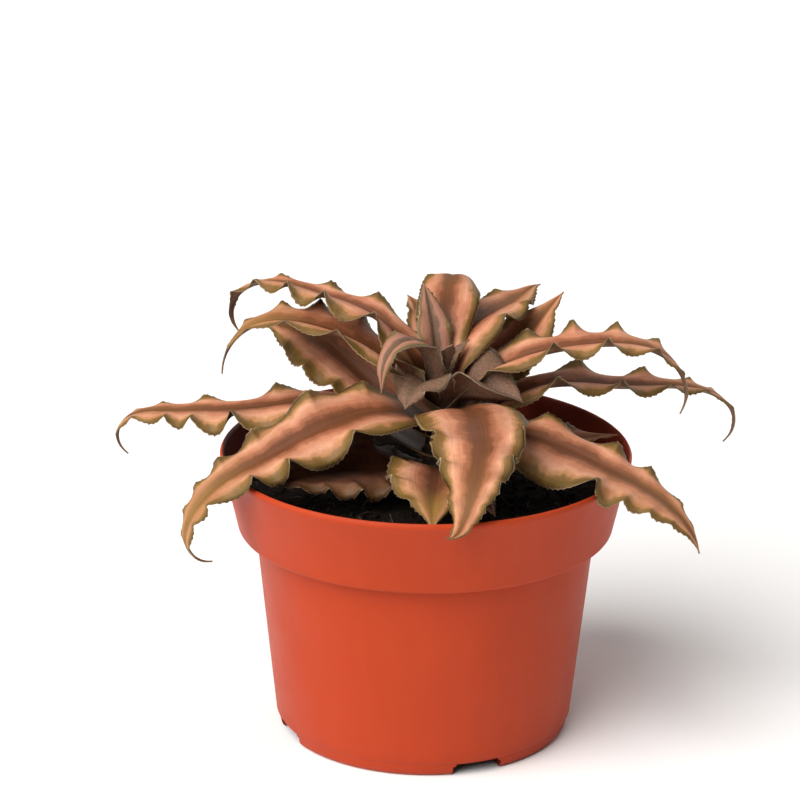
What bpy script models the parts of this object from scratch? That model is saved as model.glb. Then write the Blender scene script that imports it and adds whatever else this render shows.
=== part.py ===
"""Potted earth star bromeliad (Cryptanthus): plastic azalea pot, potting mix, short stem, rosette of leaves.

Metres, +Z up. The pot stands on z = 0 and its axis is the Z axis. Headings are measured in degrees
from +X, counter-clockwise seen from above.
"""

import random
from collections import namedtuple
from math import cos, hypot, pi, radians, sin

import bmesh
import bpy
from mathutils import Matrix, Vector
from mathutils.bvhtree import BVHTree

# Pot: a six-inch squat azalea pot, moulded in one piece
POT_HEIGHT = 0.108
RIM_RADIUS = 0.0762  # outer, at the top edge
WALL = 0.0015
FLOOR = 0.002
COLLAR_HEIGHT = 0.0293  # the wide band under the rim
COLLAR_FLARE = 0.0065  # how far the band leans out over its height
LEDGE = 0.0065  # how far the band stands out from the body below it
LEDGE_DROP = 0.0018
BODY_LEAN = 0.0076  # how far the body tapers in, from the ledge down to the foot
FOOT_HEIGHT = 0.0056
FOOT_STEP = 0.0007
FOOT_ROUND = 0.0018
DRAIN_COUNT = 4
DRAIN_WIDTH = 0.019
DRAIN_HEIGHT = 0.0045
DRAIN_REACH = 0.013  # how far a drain slot runs in under the floor
DRAIN_HEADING = 22.0
ROUND_STEPS = 64

# Potting mix
MIX_BELOW_RIM = 0.0155
MIX_MOUND = 0.003
MIX_GRAIN = 0.0007
MIX_STEPS = 40

# Stem
STEM_X = 0.005
STEM_RADIUS = 0.0075
STEM_TIP_RADIUS = 0.0020
STEM_BUD = 0.003  # stem above the highest leaf
STEM_ROOTED = 0.024  # below the top of the mix
STEM_SIDES = 20

# Leaves
MM = 0.001
GROWTH = 1.0  # size of the whole rosette against the leaf sizes listed below
LEAF_THICKNESS = 0.0013
LEAF_TIP = 0.0004  # half the width left at the very tip
LEAF_STATIONS = 22
WALK_STEPS = 8  # steps taken along the midrib between two stations
LEAF_NECK = 0.22  # width where a leaf leaves the stem, as a share of its widest
WRAP_SHARE = 0.35  # of the length, over which a blade opens out flat from round the stem
YOUNG_SEAT = 37  # leaves seated this high are the small young ones

# A leaf that would touch a piece below it is lifted in steps: steeper at its base, and seated higher.
LIFT_STEP = 1.0
SEAT_PER_LIFT = 0.3
MOST_LIFT = 40.0

GAP = 0.0003  # left between touching pieces

# Each leaf leaves the stem steeper the higher its seat, so that the bases nest like cups.
BASE_LIFT = 10.0
TOP_LIFT = 85.0
STEEPEST = 90.0

# heading: the way the leaf points. seat: its height above the mix, in mm, as are its length and width.
# lift: degrees above level at the LIFT_AT shares of its length that follow the base. sway: sideways bend
# from base to tip. roll, twist: tilt of the blade about its midrib at the base, and its change to the tip.
# waves, depth, start: ruffles on each margin, how far they fold, and where they begin. fold: how far each
# flank of the blade rises from the midrib. shoulder: where along its length it is widest.
LIFT_AT = (0.0, 0.15, 0.4, 0.65, 0.85, 1.0)
Leaf = namedtuple(
    "Leaf",
    "heading seat length width lift sway roll twist waves depth start fold shoulder",
    defaults=(0, 0, 0, 4.0, 32, 0, 12, 0.44),
)
LEAVES = (
    # lowest leaves, inside the pot or just over its rim
    Leaf(290, 5, 52, 15, (12, 10, 4, 0, -10)),
    Leaf(214, 7, 72, 26, (15, 10, 8, 6, 0), roll=-15),
    Leaf(100, 7, 58, 22, (15, 10, 5, 0, -20)),
    Leaf(10, 9, 61, 22, (10, 10, 5, 5, 5), roll=10),
    Leaf(67, 12, 62, 24, (25, 15, 8, 0, -20)),
    Leaf(264, 10, 80, 25, (8, 3, 2, -10, -60)),
    Leaf(133, 13, 58, 22, (15, 8, 2, 0, -20)),
    Leaf(168, 15, 135, 31, (25, -12, -5, -25, -150), roll=-6, fold=4),
    Leaf(335, 17, 112, 34, (20, -15, -20, -40, -75), roll=6),
    # middle tier, arching over the rim
    Leaf(17, 19, 134, 25, (29, -8, -5, -40, -145)),
    Leaf(146, 22, 80, 30, (25, 32, 25, 5, 0), roll=-20),
    Leaf(205, 25, 128, 35, (6, -20, -25, -80, -180), roll=-12, shoulder=0.36),
    Leaf(42, 27, 68, 26, (25, 28, 40, 35, 35)),
    Leaf(304, 28, 104, 37, (14, -8, -26, -40, -20), sway=-80, shoulder=0.30),
    Leaf(108, 28, 54, 13, (72, 58, 38, 10, 0), shoulder=0.55),
    Leaf(174, 30, 100, 28, (48, 24, 0, -50, -90)),
    Leaf(8, 32, 112, 28, (26, 8, -10, -60, -120)),
    Leaf(58, 33, 80, 26, (66, 10, 0, 8, -8)),
    Leaf(152, 34, 115, 25, (54, 10, 2, -50, -140)),
    Leaf(86, 36, 70, 24, (75, 45, 10, -25, -60), shoulder=0.5),
    # young leaves round the growing point
    Leaf(258, 37, 32, 15, (54, 24, -20, -50, -60), depth=15),
    Leaf(218, 38, 49, 15, (68, 36, -42, -85, -85), depth=15),
    Leaf(330, 39, 44, 23, (72, 36, -14, -45, -60), roll=14, depth=20),
    Leaf(112, 41, 38, 14, (85, 75, 60, 50, 45), depth=20),
    Leaf(20, 43, 25, 9, (80, 50, 25, 10, 0), depth=10),
    Leaf(190, 45, 19, 6, (85, 70, 50, 30, 20), depth=10),
    Leaf(290, 46, 18, 7, (80, 60, 50, 40, 40), depth=10),
)


def material(name, colour, roughness):
    """A plain Principled surface."""
    made = bpy.data.materials.new(name)
    made.use_nodes = True
    shader = made.node_tree.nodes["Principled BSDF"]
    shader.inputs["Base Color"].default_value = (*colour, 1.0)
    shader.inputs["Roughness"].default_value = roughness
    shader.inputs["Metallic"].default_value = 0.0
    return made


def add_object(name, form, surface):
    """Puts a finished bmesh into the scene as one smooth-shaded object."""
    mesh = bpy.data.meshes.new(name)
    form.to_mesh(mesh)
    form.free()
    mesh.materials.append(surface)
    made = bpy.data.objects.new(name, mesh)
    bpy.context.scene.collection.objects.link(made)
    mesh.shade_smooth()
    mesh.set_sharp_from_angle(angle=radians(40))
    return made


def revolve(profile, steps):
    """A closed solid turned from (radius, height) points that begin and end on the axis."""
    form = bmesh.new()
    points = [form.verts.new((radius, 0.0, height)) for radius, height in profile]
    for first, second in zip(points, points[1:]):
        form.edges.new((first, second))
    bmesh.ops.spin(
        form, geom=form.verts[:] + form.edges[:], cent=(0, 0, 0), axis=(0, 0, 1), angle=2 * pi, steps=steps
    )
    bmesh.ops.remove_doubles(form, verts=form.verts[:], dist=1e-6)
    bmesh.ops.recalc_face_normals(form, faces=form.faces[:])
    return form


def pot_outside():
    """(radius, height) points down the outside of the pot, from the rim to the floor's edge."""
    collar_low = RIM_RADIUS - COLLAR_FLARE
    collar_foot = POT_HEIGHT - COLLAR_HEIGHT
    body_top = collar_low - LEDGE
    foot = body_top - BODY_LEAN
    return [
        (RIM_RADIUS, POT_HEIGHT - WALL / 3),
        (collar_low, collar_foot),
        (body_top, collar_foot - LEDGE_DROP),
        (foot, FOOT_HEIGHT),
        (foot - FOOT_STEP, FOOT_HEIGHT - FOOT_STEP),
        (foot - 2 * FOOT_STEP, FOOT_ROUND),
        (foot - 2 * FOOT_STEP - 0.3 * FOOT_ROUND, 0.3 * FOOT_ROUND),
        (foot - 2 * FOOT_STEP - FOOT_ROUND, 0.0),
    ]


def pot_inside(inset=0.0):
    """(radius, height) points up the inside of the pot, from the floor's edge to the rim."""
    outside = pot_outside()
    collar_top, collar_low, body_top, foot = outside[:4]
    wall = WALL + inset
    return [
        (foot[0] - 2 * FOOT_STEP - wall, FLOOR + inset),
        (foot[0] - wall, FOOT_HEIGHT + FLOOR),
        (body_top[0] - wall, collar_low[1] - LEDGE_DROP + 0.7 * WALL),
        (collar_low[0] - wall, collar_low[1] + 0.7 * WALL),
        (collar_top[0] - wall, POT_HEIGHT - WALL / 3),
    ]


def drain_cutter(name, margin, surface):
    """Blocks in the place of the drain slots, larger by a margin on every side."""
    inner = pot_outside()[-1][0] - DRAIN_REACH - margin
    reach = 2 * DRAIN_REACH
    size = Matrix.Diagonal((reach, DRAIN_WIDTH + 2 * margin, 2 * (DRAIN_HEIGHT + margin), 1.0))
    form = bmesh.new()
    for index in range(DRAIN_COUNT):
        turn = Matrix.Rotation(radians(DRAIN_HEADING + index * 360 / DRAIN_COUNT), 4, "Z")
        place = Matrix.Translation((inner + reach / 2, 0, 0))
        bmesh.ops.create_cube(form, size=1.0, matrix=turn @ place @ size)
    return hidden_cutter(name, form, surface)


def hidden_cutter(name, form, surface):
    """A shape that only cuts others, so it isn't a piece of the object."""
    cutter = add_object(name, form, surface)
    cutter.hide_render = True
    cutter.display_type = "WIRE"
    return cutter


def cut_from(piece, label, cutter):
    """Cuts one object's shape out of another."""
    cut = piece.modifiers.new(label, "BOOLEAN")
    cut.operation = "DIFFERENCE"
    cut.solver = "EXACT"
    cut.object = cutter


def make_pot(surface):
    """The pot, with drain slots cut through the corner between its wall and floor."""
    lip = (RIM_RADIUS - WALL / 2, POT_HEIGHT)
    profile = [(0.0, FLOOR), *pot_inside(), lip, *pot_outside(), (0.0, 0.0)]
    pot = add_object("pot", revolve(profile, ROUND_STEPS), surface)
    cut_from(pot, "drains", drain_cutter("drain_cutter", 0.0, surface))
    return pot


def mix_top():
    """Height of the potting mix at the pot wall."""
    return POT_HEIGHT - MIX_BELOW_RIM


def make_mix(surface):
    """The potting mix: fills the pot clear of the drain slots, heaped a little round the stem it holds."""
    inside = pot_inside(inset=GAP)
    low, high = inside[-2], inside[-1]
    share = (mix_top() - low[1]) / (high[1] - low[1])
    edge = low[0] + share * (high[0] - low[0])
    profile = [(0.0, FLOOR + GAP), *inside[:-1], (edge, mix_top())]
    for part in (0.85, 0.6, 0.35):
        profile.append((edge * part, mix_top() + MIX_MOUND * (1 - part)))
    profile.append((0.0, mix_top() + MIX_MOUND))
    form = revolve(profile, MIX_STEPS)
    rough = random.Random(4)
    for vert in form.verts:
        if vert.co.z > mix_top() + MIX_GRAIN:
            vert.co.z += rough.uniform(-MIX_GRAIN, MIX_GRAIN)
    mix = add_object("potting_mix", form, surface)
    socket_form = bmesh.new()
    bottom = mix_top() - STEM_ROOTED - GAP
    depth = STEM_ROOTED + 3 * MIX_MOUND
    bmesh.ops.create_cone(
        socket_form, cap_ends=True, segments=24, radius1=STEM_RADIUS + GAP, radius2=STEM_RADIUS + GAP,
        depth=depth, matrix=Matrix.Translation((STEM_X, 0, bottom + depth / 2)),
    )
    cut_from(mix, "socket", hidden_cutter("stem_socket_cutter", socket_form, surface))
    cut_from(mix, "drains", drain_cutter("mix_drain_cutter", GAP, surface))
    return mix


def stem_rise():
    """Height of the stem above the mix: it carries every leaf, and ends just over the highest."""
    return max(leaf.seat for leaf in LEAVES) * MM * GROWTH + STEM_BUD


def stem_radius(height):
    """Radius of the stem at a height above the mix."""
    share = min(max(height / stem_rise(), 0.0), 1.0)
    return STEM_RADIUS + (STEM_TIP_RADIUS - STEM_RADIUS) * share


def make_stem(surface):
    """The short woody stem, rooted in the mix and hidden by the leaf bases."""
    top = mix_top() + stem_rise()
    profile = [
        (0.0, mix_top() - STEM_ROOTED),
        (0.7 * STEM_RADIUS, mix_top() - STEM_ROOTED),
        (STEM_RADIUS, mix_top() - 0.8 * STEM_ROOTED),
        (STEM_RADIUS, mix_top()),
        (STEM_TIP_RADIUS, top),
        (0.0, top + 0.8 * STEM_TIP_RADIUS),
    ]
    form = revolve(profile, STEM_SIDES)
    bmesh.ops.translate(form, verts=form.verts[:], vec=(STEM_X, 0, 0))
    return add_object("stem", form, surface)


def along(values, share):
    """Smooth value at a share of the leaf's length, through values given at LIFT_AT."""
    index = 0
    while index < len(LIFT_AT) - 2 and share > LIFT_AT[index + 1]:
        index += 1
    slopes = []
    for knot in (index, index + 1):
        before, after = max(knot - 1, 0), min(knot + 1, len(LIFT_AT) - 1)
        slopes.append((values[after] - values[before]) / (LIFT_AT[after] - LIFT_AT[before]))
    span = LIFT_AT[index + 1] - LIFT_AT[index]
    t = (share - LIFT_AT[index]) / span
    start = (2 * t**3 - 3 * t**2 + 1) * values[index] + (t**3 - 2 * t**2 + t) * span * slopes[0]
    end = (3 * t**2 - 2 * t**3) * values[index + 1] + (t**3 - t**2) * span * slopes[1]
    return start + end


def half_width(leaf, share):
    """Half the leaf's width: a narrow neck, widest at the shoulder, then a long taper to the tip."""
    if share < leaf.shoulder:
        shape = LEAF_NECK + (1 - LEAF_NECK) * sin(pi / 2 * share / leaf.shoulder) ** 2
    else:
        out = (share - leaf.shoulder) / (1 - leaf.shoulder)
        shape = (1 - out) ** 0.9 * (1 + 0.9 * out)
    return max(leaf.width / 2 * MM * GROWTH * shape, LEAF_TIP)


def leaf_frames(leaf, raised, steps):
    """(point, forward, side, up) at each station along the midrib, from the stem to the tip."""
    seat = (leaf.seat + raised * SEAT_PER_LIFT) * MM * GROWTH
    heading = radians(leaf.heading)
    reach = stem_radius(seat) + GAP + LEAF_THICKNESS / 2
    point = Vector((STEM_X + reach * cos(heading), reach * sin(heading), mix_top() + seat))
    base_lift = BASE_LIFT + (TOP_LIFT - BASE_LIFT) * seat / stem_rise()
    lifts = (base_lift, *leaf.lift)
    frames = []
    walk = steps * WALK_STEPS
    for step in range(walk + 1):
        share = step / walk
        lift = radians(min(along(lifts, share) + raised * (1 - share), STEEPEST))
        turn = radians(leaf.heading + leaf.sway * share)
        forward = Vector((cos(turn) * cos(lift), sin(turn) * cos(lift), sin(lift)))
        side = Vector((-sin(turn), cos(turn), 0))
        up = forward.cross(side)
        tilt = Matrix.Rotation(radians(leaf.roll + leaf.twist * share), 3, forward)
        if step % WALK_STEPS == 0:
            frames.append((point.copy(), forward, tilt @ side, tilt @ up))
        point += forward * (leaf.length * MM * GROWTH / walk)
    return frames


def wrapped(frame, across, above, wrap):
    """A point of the leaf's section, carried round the stem where the blade still clasps it."""
    point, forward, side, up = frame
    flat = point + side * across + up * above
    axis = Vector((STEM_X, 0, 0))
    spoke = point + up * above - axis
    around = Matrix.Rotation(across / hypot(spoke.x, spoke.y), 3, "Z")
    return flat.lerp(axis + around @ spoke, wrap)


def leaf_ring(leaf, share, frame, thickness):
    """Eight points round the leaf's section: two sharp margins, with three points above and three below."""
    point, forward, side, up = frame
    half = half_width(leaf, share)
    fold = radians(leaf.fold) * (1.6 - share) * min(share / 0.3, 1.0)
    ease = min(share / 0.3, 1.0) * min((1 - share) / 0.15, 1.0)
    flanks = []
    for hand, late in ((1, 0.0), (-1, 0.35)):
        wave = sin(2 * pi * (leaf.waves * share + leaf.start + late))
        bend = fold + radians(leaf.depth) * ease * wave
        middle = Vector((hand * half / 2 * cos(fold), half / 2 * sin(fold)))
        margin = middle + Vector((hand * half / 2 * cos(bend), half / 2 * sin(bend)))
        flanks.append((middle, margin))
    (left, left_edge), (right, right_edge) = flanks
    thick = thickness / 2 * (1.0 - 0.5 * share)
    rise = Vector((0, thick))
    section = [left_edge, left + 0.8 * rise, rise, right + 0.8 * rise, right_edge]
    section += [right - 0.8 * rise, -rise, left - 0.8 * rise]
    wrap = max(1 - share / WRAP_SHARE, 0.0)
    return [wrapped(frame, across, above, wrap) for across, above in section]


def leaf_form(leaf, raised, thickness):
    """The whole leaf as a closed bmesh: rings joined by quads and capped at both ends."""
    form = bmesh.new()
    rings = []
    for step, frame in enumerate(leaf_frames(leaf, raised, LEAF_STATIONS)):
        ring = leaf_ring(leaf, step / LEAF_STATIONS, frame, thickness)
        rings.append([form.verts.new(place) for place in ring])
    for near, far in zip(rings, rings[1:]):
        for index in range(len(near)):
            after = (index + 1) % len(near)
            form.faces.new((near[index], near[after], far[after], far[index]))
    form.faces.new(rings[0])
    form.faces.new(reversed(rings[-1]))
    bmesh.ops.recalc_face_normals(form, faces=form.faces[:])
    bmesh.ops.triangulate(form, faces=form.faces[:])
    return form


def tree_of(made):
    """Search tree of an object as its modifiers leave it."""
    graph = bpy.context.evaluated_depsgraph_get()
    return BVHTree.FromObject(made, graph)


def make_leaf(name, leaf, surface, in_place):
    """One leaf, raised a little at a time until it clears every piece already in place."""
    raised = 0.0
    while raised < MOST_LIFT:
        trial = leaf_form(leaf, raised, LEAF_THICKNESS + 2 * GAP)
        tree = BVHTree.FromBMesh(trial)
        trial.free()
        if not any(tree.overlap(placed) for placed in in_place):
            break
        raised += LIFT_STEP
    return add_object(name, leaf_form(leaf, raised, LEAF_THICKNESS), surface)


def build():
    for existing in list(bpy.data.objects):
        bpy.data.objects.remove(existing)
    plastic = material("pot_plastic", (0.62, 0.085, 0.03), 0.42)
    mix = material("potting_mix", (0.022, 0.014, 0.010), 0.95)
    stem = material("stem_tissue", (0.20, 0.13, 0.07), 0.8)
    blade = material("leaf_blade", (0.60, 0.25, 0.17), 0.5)
    young = material("young_leaf", (0.22, 0.13, 0.10), 0.6)
    made = [make_pot(plastic), make_mix(mix), make_stem(stem)]
    bpy.context.view_layer.update()
    in_place = [tree_of(piece) for piece in made]
    for number, leaf in enumerate(LEAVES, start=1):
        surface = young if leaf.seat >= YOUNG_SEAT else blade
        piece = make_leaf(f"leaf_{number:02d}", leaf, surface, in_place)
        in_place.append(tree_of(piece))


build()
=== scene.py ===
import random
from collections import namedtuple
from math import cos, pi, radians, sin, sqrt

import bmesh
import bpy
import numpy as np
from mathutils import Matrix, Vector, noise


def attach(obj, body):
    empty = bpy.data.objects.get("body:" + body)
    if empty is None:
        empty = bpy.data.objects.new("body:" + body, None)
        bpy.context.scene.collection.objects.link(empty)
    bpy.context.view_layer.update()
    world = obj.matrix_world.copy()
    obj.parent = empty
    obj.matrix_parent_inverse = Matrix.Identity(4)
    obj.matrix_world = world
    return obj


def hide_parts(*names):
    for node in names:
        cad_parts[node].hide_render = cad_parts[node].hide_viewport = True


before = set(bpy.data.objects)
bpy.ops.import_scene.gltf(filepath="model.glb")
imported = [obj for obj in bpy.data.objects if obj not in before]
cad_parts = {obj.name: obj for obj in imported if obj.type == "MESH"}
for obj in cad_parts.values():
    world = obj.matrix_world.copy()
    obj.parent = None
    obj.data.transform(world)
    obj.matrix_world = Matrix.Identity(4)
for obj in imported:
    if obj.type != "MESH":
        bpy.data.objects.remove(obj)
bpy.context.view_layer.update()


# -------------------------------------------------------------------------------------------------------
# The pot. A moulded nursery pot of thin terracotta-coloured plastic: a deep flared collar to lift it by,
# a ledge where pots stack, a body that leans in to a foot, and four drain slots cut through the foot.

POT_HEIGHT = 0.108
RIM_RADIUS = 0.0762
WALL = 0.0015
FLOOR = 0.002
COLLAR_HEIGHT = 0.0293
COLLAR_LOW = RIM_RADIUS - 0.0065
BODY_TOP = COLLAR_LOW - 0.0065
FOOT = BODY_TOP - 0.0076
FOOT_HEIGHT = 0.0056
SLOTS = 4
SLOT_LENGTH = 0.034
SLOT_WIDTH = 0.019
SLOT_HEIGHT = 0.009
SLOT_CORNER = 0.0012
SLOT_TURN = 22
POT_STEPS = 192


class Paint:
    """Builds the nodes of one material. Each call adds a node and gives back the socket it feeds on."""

    def __init__(self, name):
        self.material = bpy.data.materials.new(name)
        self.material.use_nodes = True
        self.tree = self.material.node_tree
        self.shader = self.tree.nodes["Principled BSDF"]

    def set(self, socket, value):
        """Links the socket to another, or gives it a plain value."""
        if isinstance(value, bpy.types.NodeSocket):
            self.tree.links.new(value, socket)
        elif value is not None:
            socket.default_value = value

    def add(self, kind, out=0, inputs=(), **settings):
        """One node of a kind, with its settings and what goes into it."""
        made = self.tree.nodes.new("ShaderNode" + kind)
        for key, value in settings.items():
            setattr(made, key, value)
        for key, value in dict(inputs).items():
            self.set(made.inputs[key], value)
        return made.outputs[out]

    def place(self, scale=(1, 1, 1)):
        """The object's own coordinates in metres, stretched."""
        spot = self.add("TexCoord", out="Object")
        return self.add("Mapping", inputs={"Vector": spot, "Scale": scale})

    def noise(self, scale, detail=4.0, rough=0.55, stretch=(1, 1, 1), vector=None):
        where = vector or self.place(stretch)
        values = {"Vector": where, "Scale": scale, "Detail": detail, "Roughness": rough}
        return self.add("TexNoise", out="Fac", inputs=values)

    def math(self, operation, first, second=None):
        made = self.add("Math", operation=operation, inputs={0: first})
        if second is not None:
            self.set(made.node.inputs[1], second)
        return made

    def span(self, value, low, high, to_low=0.0, to_high=1.0):
        """The value carried from low..high to to_low..to_high, and held at the ends."""
        inputs = {0: value, 1: low, 2: high, 3: to_low, 4: to_high}
        return self.add("MapRange", interpolation_type="SMOOTHSTEP", inputs=inputs)

    def ramp(self, value, stops):
        """Colours eased into one another, each given as (place, colour)."""
        made = self.add("ValToRGB", inputs={0: value})
        band = made.node.color_ramp
        band.interpolation = "EASE"
        while len(band.elements) < len(stops):
            band.elements.new(0.5)
        for element, (place, colour) in zip(band.elements, stops):
            element.position = place
            element.color = (*colour, 1.0)
        return made

    def mix(self, share, first, second):
        """The first colour, with a share of the second over it."""
        first, second = (
            (*value, 1.0) if isinstance(value, tuple) else value for value in (first, second)
        )
        inputs = {0: share, 6: first, 7: second}
        return self.add("Mix", out=2, data_type="RGBA", inputs=inputs)

    def bump(self, height, strength, distance, under=None):
        """Relief as deep as distance, laid over any relief given as under."""
        inputs = {"Height": height, "Strength": strength, "Distance": distance}
        made = self.add("Bump", inputs=inputs)
        if under is not None:
            self.set(made.node.inputs["Normal"], under)
        return made

    def finish(self, colour, roughness, normal=None, **gloss):
        """Feeds the shader and gives back the material."""
        self.set(self.shader.inputs["Base Color"], colour)
        self.set(self.shader.inputs["Roughness"], roughness)
        if normal is not None:
            self.set(self.shader.inputs["Normal"], normal)
        for key, value in gloss.items():
            self.shader.inputs[key.replace("_", " ")].default_value = value
        return self.material


def revolved(name, profile, steps):
    """A closed mesh turned from (radius, height) points that begin and end on the axis."""
    turns = [2 * pi * step / steps for step in range(steps)]
    points = [(0.0, 0.0, profile[0][1])]
    points += [(r * cos(t), r * sin(t), z) for r, z in profile[1:-1] for t in turns]
    points.append((0.0, 0.0, profile[-1][1]))
    rows = len(profile) - 2
    faces = []
    for step in range(steps):
        after = (step + 1) % steps
        faces.append((0, 1 + after, 1 + step))
        last = 1 + (rows - 1) * steps
        faces.append((last + step, last + after, len(points) - 1))
        for row in range(rows - 1):
            low = 1 + row * steps
            faces.append((low + step, low + after, low + steps + after, low + steps + step))
    mesh = bpy.data.meshes.new(name)
    mesh.from_pydata(points, [], faces)
    return mesh


def put(name, mesh, *materials):
    """Links a finished mesh into the scene as one piece."""
    for material in materials:
        mesh.materials.append(material)
    made = bpy.data.objects.new(name, mesh)
    bpy.context.scene.collection.objects.link(made)
    return made


def eased(corner, radius, before, after, steps=4):
    """Points that round a corner of the pot's section between its two neighbours."""
    corner, before, after = Vector(corner), Vector(before), Vector(after)
    start = corner + (before - corner).normalized() * radius
    end = corner + (after - corner).normalized() * radius
    shares = [step / steps for step in range(steps + 1)]
    return [tuple(start * (1 - s) ** 2 + corner * 2 * s * (1 - s) + end * s * s) for s in shares]


def pot_section():
    """The pot's section: up the inside, over the lip, down the outside and back under the floor."""
    ledge = POT_HEIGHT - COLLAR_HEIGHT
    inside = [
        (0.0, FLOOR),
        (FOOT - 0.0035, FLOOR),
        (FOOT - 0.0020, FLOOR + 0.001),
        (FOOT - WALL, FOOT_HEIGHT + FLOOR),
        (BODY_TOP - WALL, ledge - 0.0010),
        (BODY_TOP - WALL + 0.0008, ledge - 0.0003),
        (COLLAR_LOW - WALL - 0.0006, ledge + 0.0010),
        (COLLAR_LOW - WALL, ledge + 0.0020),
        (RIM_RADIUS - WALL - 0.0002, POT_HEIGHT - 0.0030),
        (RIM_RADIUS - WALL, POT_HEIGHT - 0.0010),
    ]
    lip = [
        (RIM_RADIUS - 0.8 * WALL, POT_HEIGHT - 0.0003),
        (RIM_RADIUS - 0.45 * WALL, POT_HEIGHT),
        (RIM_RADIUS - 0.1 * WALL, POT_HEIGHT - 0.0002),
        (RIM_RADIUS + 0.0002, POT_HEIGHT - 0.0009),
        (RIM_RADIUS + 0.0001, POT_HEIGHT - 0.0022),
        (RIM_RADIUS - 0.0006, POT_HEIGHT - 0.0030),
    ]
    under_collar = (BODY_TOP + 0.0004, ledge - 0.0014)
    collar = eased((COLLAR_LOW, ledge), 0.0016, lip[-1], under_collar)
    below = (FOOT + 0.0004, FOOT_HEIGHT + 0.004)
    tuck = eased((BODY_TOP, ledge - 0.0018), 0.0011, collar[-1], below)
    foot = [
        (FOOT, FOOT_HEIGHT + 0.0003),
        (FOOT - 0.0002, FOOT_HEIGHT - 0.0001),
        (FOOT - 0.0008, FOOT_HEIGHT - 0.0007),
        (FOOT - 0.0009, FOOT_HEIGHT - 0.0014),
        (FOOT - 0.0013, 0.0018),
        (FOOT - 0.0018, 0.0007),
        (FOOT - 0.0028, 0.0),
        (0.0, 0.0),
    ]
    return [*inside, *lip, *collar, *tuck, *foot]


def drain_slots():
    """Blocks that cut the drain slots through the foot, with rounded upper corners."""
    form = bmesh.new()
    size = Matrix.Diagonal((SLOT_LENGTH, SLOT_WIDTH, SLOT_HEIGHT, 1))
    for index in range(SLOTS):
        block = Matrix.Translation((FOOT + 0.004, 0, 0)) @ size
        turn = Matrix.Rotation(radians(SLOT_TURN + 360 / SLOTS * index), 4, "Z")
        bmesh.ops.create_cube(form, size=1.0, matrix=turn @ block)
    upper = [edge for edge in form.edges if all(vert.co.z > 0 for vert in edge.verts)]
    bmesh.ops.bevel(form, geom=upper, offset=SLOT_CORNER, segments=3, affect="EDGES")
    mesh = bpy.data.meshes.new("drain_slots")
    form.to_mesh(mesh)
    form.free()
    cutter = put("drain_slots", mesh)
    cutter.hide_render = True
    cutter.hide_set(True)
    return cutter


def pot_plastic():
    """Satin polypropylene: even terracotta colour with faint flow streaks, dust and handling marks, and
    painted shade inside.
    """
    paint = Paint("terracotta_plastic")
    cloud = paint.noise(14, detail=3)
    streak = paint.noise(160, detail=2, stretch=(1, 1, 0.06))
    colour = paint.ramp(cloud, [(0.3, (0.410, 0.043, 0.0105)), (0.7, (0.445, 0.049, 0.0125))])
    colour = paint.mix(paint.span(streak, 0.35, 0.75, 0.0, 0.10), colour, (0.30, 0.029, 0.008))
    dust = paint.noise(900, detail=5, rough=0.7)
    speck = paint.span(dust, 0.66, 0.78, 0.0, 0.35)
    colour = paint.mix(speck, colour, (0.50, 0.19, 0.11))
    height = paint.add("SeparateXYZ", out="Z", inputs={0: paint.place()})
    grime = paint.math("MULTIPLY", paint.span(height, 0.012, 0.0, 0.0, 0.5), paint.noise(70, detail=6))
    colour = paint.mix(grime, colour, (0.25, 0.035, 0.018))
    # Painted shade: the inside faces the axis and is painted darker there, for the shade that falls
    # inside the pot.
    inputs = {0: paint.add("NewGeometry", out="Normal"), 1: paint.place((1, 1, 0))}
    facing = paint.add("VectorMath", out="Value", operation="DOT_PRODUCT", inputs=inputs)
    painted_shade_patches = paint.span(paint.noise(60, detail=6), 0.2, 0.7, 0.95, 0.80)
    inside = paint.math("MULTIPLY", paint.span(facing, 0.002, -0.010), painted_shade_patches)
    colour = paint.mix(inside, colour, (0.080, 0.011, 0.005))
    roughness = paint.span(paint.noise(45, detail=5), 0.3, 0.7, 0.44, 0.54)
    grain = paint.bump(paint.noise(2600, detail=2), 0.06, 0.0003)
    waviness = paint.bump(paint.noise(22, detail=2), 0.10, 0.002, under=grain)
    return paint.finish(colour, roughness, waviness, IOR=1.46, Specular_IOR_Level=0.16)


pot = put("nursery_pot", revolved("nursery_pot", pot_section(), POT_STEPS), pot_plastic())
cut = pot.modifiers.new("drains", "BOOLEAN")
cut.operation = "DIFFERENCE"
cut.solver = "EXACT"
cut.object = drain_slots()
pot.data.shade_smooth()
pot.data.set_sharp_from_angle(angle=radians(50))
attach(pot, "root")
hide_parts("pot")


# -------------------------------------------------------------------------------------------------------
# The potting mix. Dark, damp peat with bark crumbs and root fibres, poured in loose to a finger's width
# under the rim and heaped a little round the stem. The crumbs and fibres lie on it and are pressed in.

HEADSPACE = 0.0155
MIX_TOP = POT_HEIGHT - HEADSPACE
MIX_GAP = 0.0003
MIX_STEPS = 150
MIX_RINGS = 52
HEAP = 0.003
CRUMBS = 900
FIBRES = 130
# The plant stands this far to the right of the pot's middle.
STEM_X = 0.005
COLLAR_FLARE = RIM_RADIUS - COLLAR_LOW
# The mix's radius at its top, where it meets the sloping collar.
MIX_EDGE = COLLAR_LOW - WALL - MIX_GAP + COLLAR_FLARE * (COLLAR_HEIGHT - HEADSPACE) / COLLAR_HEIGHT


def mix_height(x, y):
    """Height of the mix's uneven surface."""
    out = min(sqrt(x * x + y * y) / MIX_EDGE, 1.0)
    spot = Vector((x, y, 0.0))
    lumps = 0.0013 * noise.noise(spot * 70) + 0.0008 * noise.noise(spot * 210)
    grains = 0.0005 * noise.noise(spot * 560) + 0.0003 * noise.noise(spot * 1300)
    return MIX_TOP + HEAP * (1 - out) + (lumps + grains) * (1 - 0.5 * out)


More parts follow.
